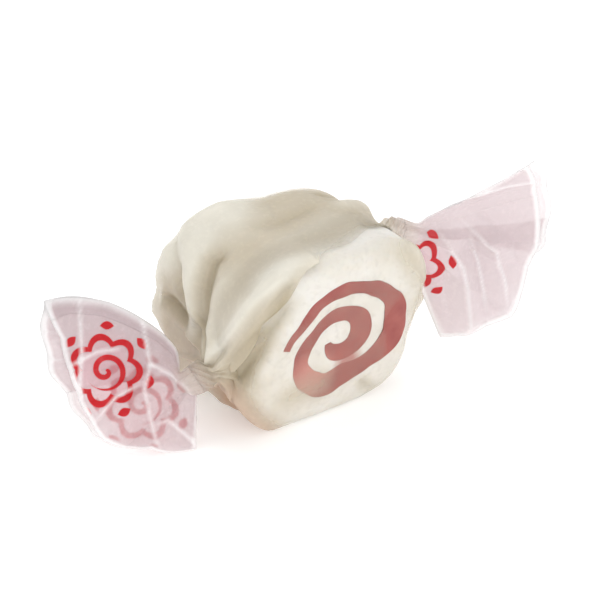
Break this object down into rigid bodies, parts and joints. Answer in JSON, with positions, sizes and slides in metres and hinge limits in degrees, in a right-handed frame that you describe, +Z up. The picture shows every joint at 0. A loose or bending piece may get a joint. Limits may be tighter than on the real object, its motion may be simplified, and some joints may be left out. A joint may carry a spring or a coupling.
{
  "type": "wrapped salt water taffy",
  "caption": "Thick round cream taffy with a red swirl through it, in a twisted wax paper wrapper with fanned ends, lying on its side.",
  "frame": {"origin": "on the surface that the taffy lies on, under the middle of its box", "axes": "+X along the twisted wrapper from the left fan to the right one, seen from above; -Y out of the swirled face; +Z up"},
  "size_m": [0.0644, 0.0256, 0.0254],
  "materials": {
    "cream_taffy": "soft, slightly waxy sugar",
    "red_taffy": "soft, slightly waxy sugar",
    "wax_paper": "translucent waxed sheet with a soft gloss"
  },
  "bodies": {
    "root": {"taffy": "cream_taffy", "swirl": "red_taffy", "wrapper": "wax_paper"}
  },
  "joints": []
}
